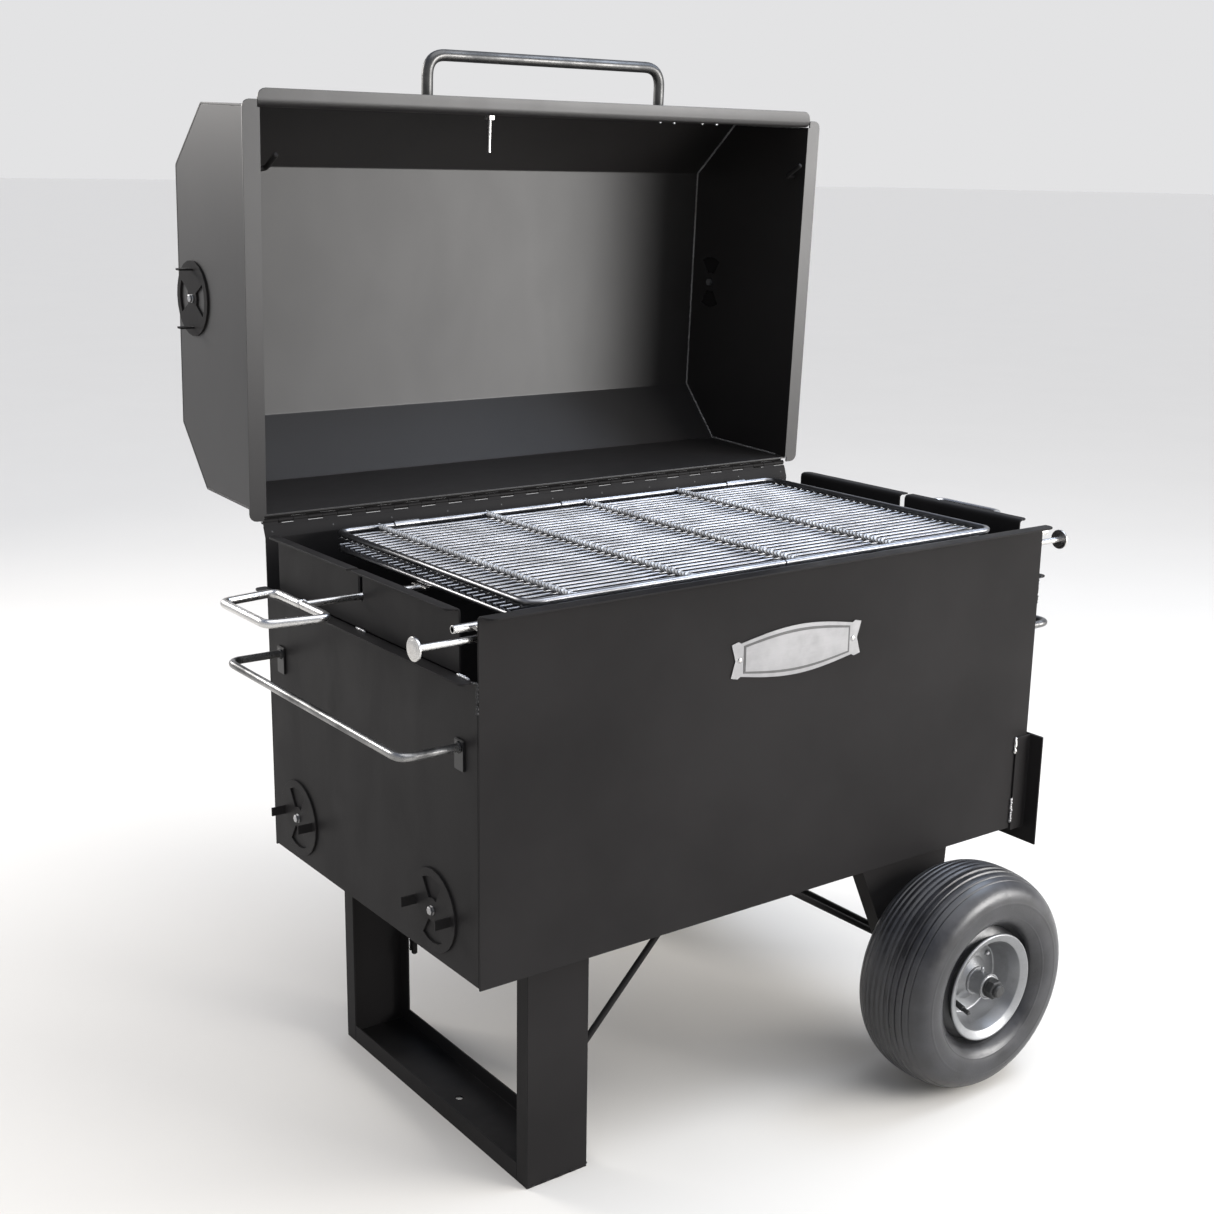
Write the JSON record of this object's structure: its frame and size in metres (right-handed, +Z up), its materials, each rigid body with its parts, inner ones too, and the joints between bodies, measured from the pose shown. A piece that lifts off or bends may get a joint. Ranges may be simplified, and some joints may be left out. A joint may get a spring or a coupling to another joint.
{
  "type": "charcoal barbecue pit",
  "caption": "Box-shaped black steel charcoal pit on a leg frame and two wheels, with a hinged hood, flip-over double grate, ash drawer and vents.",
  "frame": {"origin": "on the ground, under the middle of the whole object's box with the hood open", "axes": "+X along the pit from the leg frame to the wheels and drawer, +Y to the hinge side at the back, +Z up"},
  "size_m": [1.432, 1.0956, 1.592],
  "materials": {
    "black_paint": "satin",
    "stainless": "satin",
    "zinc": "satin",
    "rim_paint": "satin",
    "tyre_rubber": "matte"
  },
  "bodies": {
    "firebox": {"front_wall": "black_paint", "back_wall": "black_paint", "floor_pan": "black_paint", "end_wall_left": "black_paint", "end_wall_right": "black_paint", "drawer_frame": "black_paint", "leg_upright_front": "black_paint", "leg_upright_rear": "black_paint", "leg_foot": "black_paint", "rim_panel_left": "black_paint", "rim_panel_right": "black_paint", "push_handle_left": "black_paint", "push_handle_right": "black_paint", "lid_stop_left": "black_paint", "lid_stop_right": "black_paint", "leg_brace_front": "black_paint", "leg_brace_rear": "black_paint", "axle_brace_front": "black_paint", "axle_brace_rear": "black_paint", "axle_bracket_front": "black_paint", "axle_bracket_rear": "black_paint", "hinge_leaf_body": "zinc", "hinge_pin": "zinc", "axle": "zinc", "axle_nut_front": "zinc", "axle_nut_rear": "zinc", "vent_bolt_front": "zinc", "vent_bolt_rear": "zinc", "name_plate": "stainless", "guide_tube_left": "stainless", "guide_tube_right": "stainless"},
    "hood": {"hood_shell": "black_paint", "thermometer": "stainless", "hood_handle": "black_paint", "hood_plate": "stainless", "hinge_leaf_hood": "zinc", "hood_end_left": "black_paint", "hood_end_right": "black_paint", "hood_hook_left": "black_paint", "hood_hook_right": "black_paint", "hood_vent_bolt_left": "zinc", "hood_vent_bolt_right": "zinc"},
    "hood_vent_left": {"hood_vent_disc_left": "black_paint"},
    "hood_vent_right": {"hood_vent_disc_right": "black_paint"},
    "vent_front": {"vent_disc_front": "black_paint"},
    "vent_rear": {"vent_disc_rear": "black_paint"},
    "flip_frame": {"lower_grate": "stainless", "flip_handle_left": "stainless", "flip_handle_right": "stainless", "grate_strap_1": "stainless", "grate_strap_2": "stainless", "grate_strap_3": "stainless"},
    "top_grate": {"upper_grate": "stainless"},
    "latch": {"latch_rod": "stainless"},
    "ash_drawer": {"drawer": "black_paint", "drawer_handle": "black_paint"},
    "wheel_front": {"tyre_front": "tyre_rubber", "wheel_rim_front": "rim_paint"},
    "wheel_rear": {"tyre_rear": "tyre_rubber", "wheel_rim_rear": "rim_paint"}
  },
  "joints": [
    {"name": "lid_hinge", "type": "hinge", "parent": "firebox", "child": "hood", "pos_m": [0, 0.25279, 0.882], "axis": [-1, 0, 0], "range_deg": [-87.5, 0]},
    {"name": "grate_flip", "type": "hinge", "parent": "firebox", "child": "flip_frame", "pos_m": [0, -0.06521, 0.8305], "axis": [1, 0, 0], "range_deg": [-180, 0]},
    {"name": "grate_open", "type": "hinge", "parent": "flip_frame", "child": "top_grate", "pos_m": [0.015, 0.20404, 0.863], "axis": [-1, 0, 0], "range_deg": [0, 95]},
    {"name": "latch_slide", "type": "slide", "parent": "firebox", "child": "latch", "axis": [1, 0, 0], "range_m": [-0.032, 0.05]},
    {"name": "drawer_slide", "type": "slide", "parent": "firebox", "child": "ash_drawer", "axis": [1, 0, 0], "range_m": [0, 0.6]},
    {"name": "vent_front_turn", "type": "hinge", "parent": "firebox", "child": "vent_front", "pos_m": [-0.535, -0.25921, 0.429], "axis": [1, 0, 0], "range_deg": [0, 90]},
    {"name": "vent_rear_turn", "type": "hinge", "parent": "firebox", "child": "vent_rear", "pos_m": [-0.535, 0.15179, 0.429], "axis": [1, 0, 0], "range_deg": [0, 90]},
    {"name": "hood_vent_left_turn", "type": "hinge", "parent": "hood", "child": "hood_vent_left", "pos_m": [-0.535, 0.47987, 1.20621], "axis": [1, 0, 0], "range_deg": [0, 90]},
    {"name": "hood_vent_right_turn", "type": "hinge", "parent": "hood", "child": "hood_vent_right", "pos_m": [0.535, 0.47987, 1.20621], "axis": [1, 0, 0], "range_deg": [0, 90]},
    {"name": "wheel_front_roll", "type": "hinge", "parent": "firebox", "child": "wheel_front", "pos_m": [0.311, -0.46521, 0.181], "axis": [0, 1, 0], "continuous": true},
    {"name": "wheel_rear_roll", "type": "hinge", "parent": "firebox", "child": "wheel_rear", "pos_m": [0.311, 0.33079, 0.181], "axis": [0, 1, 0], "continuous": true}
  ]
}
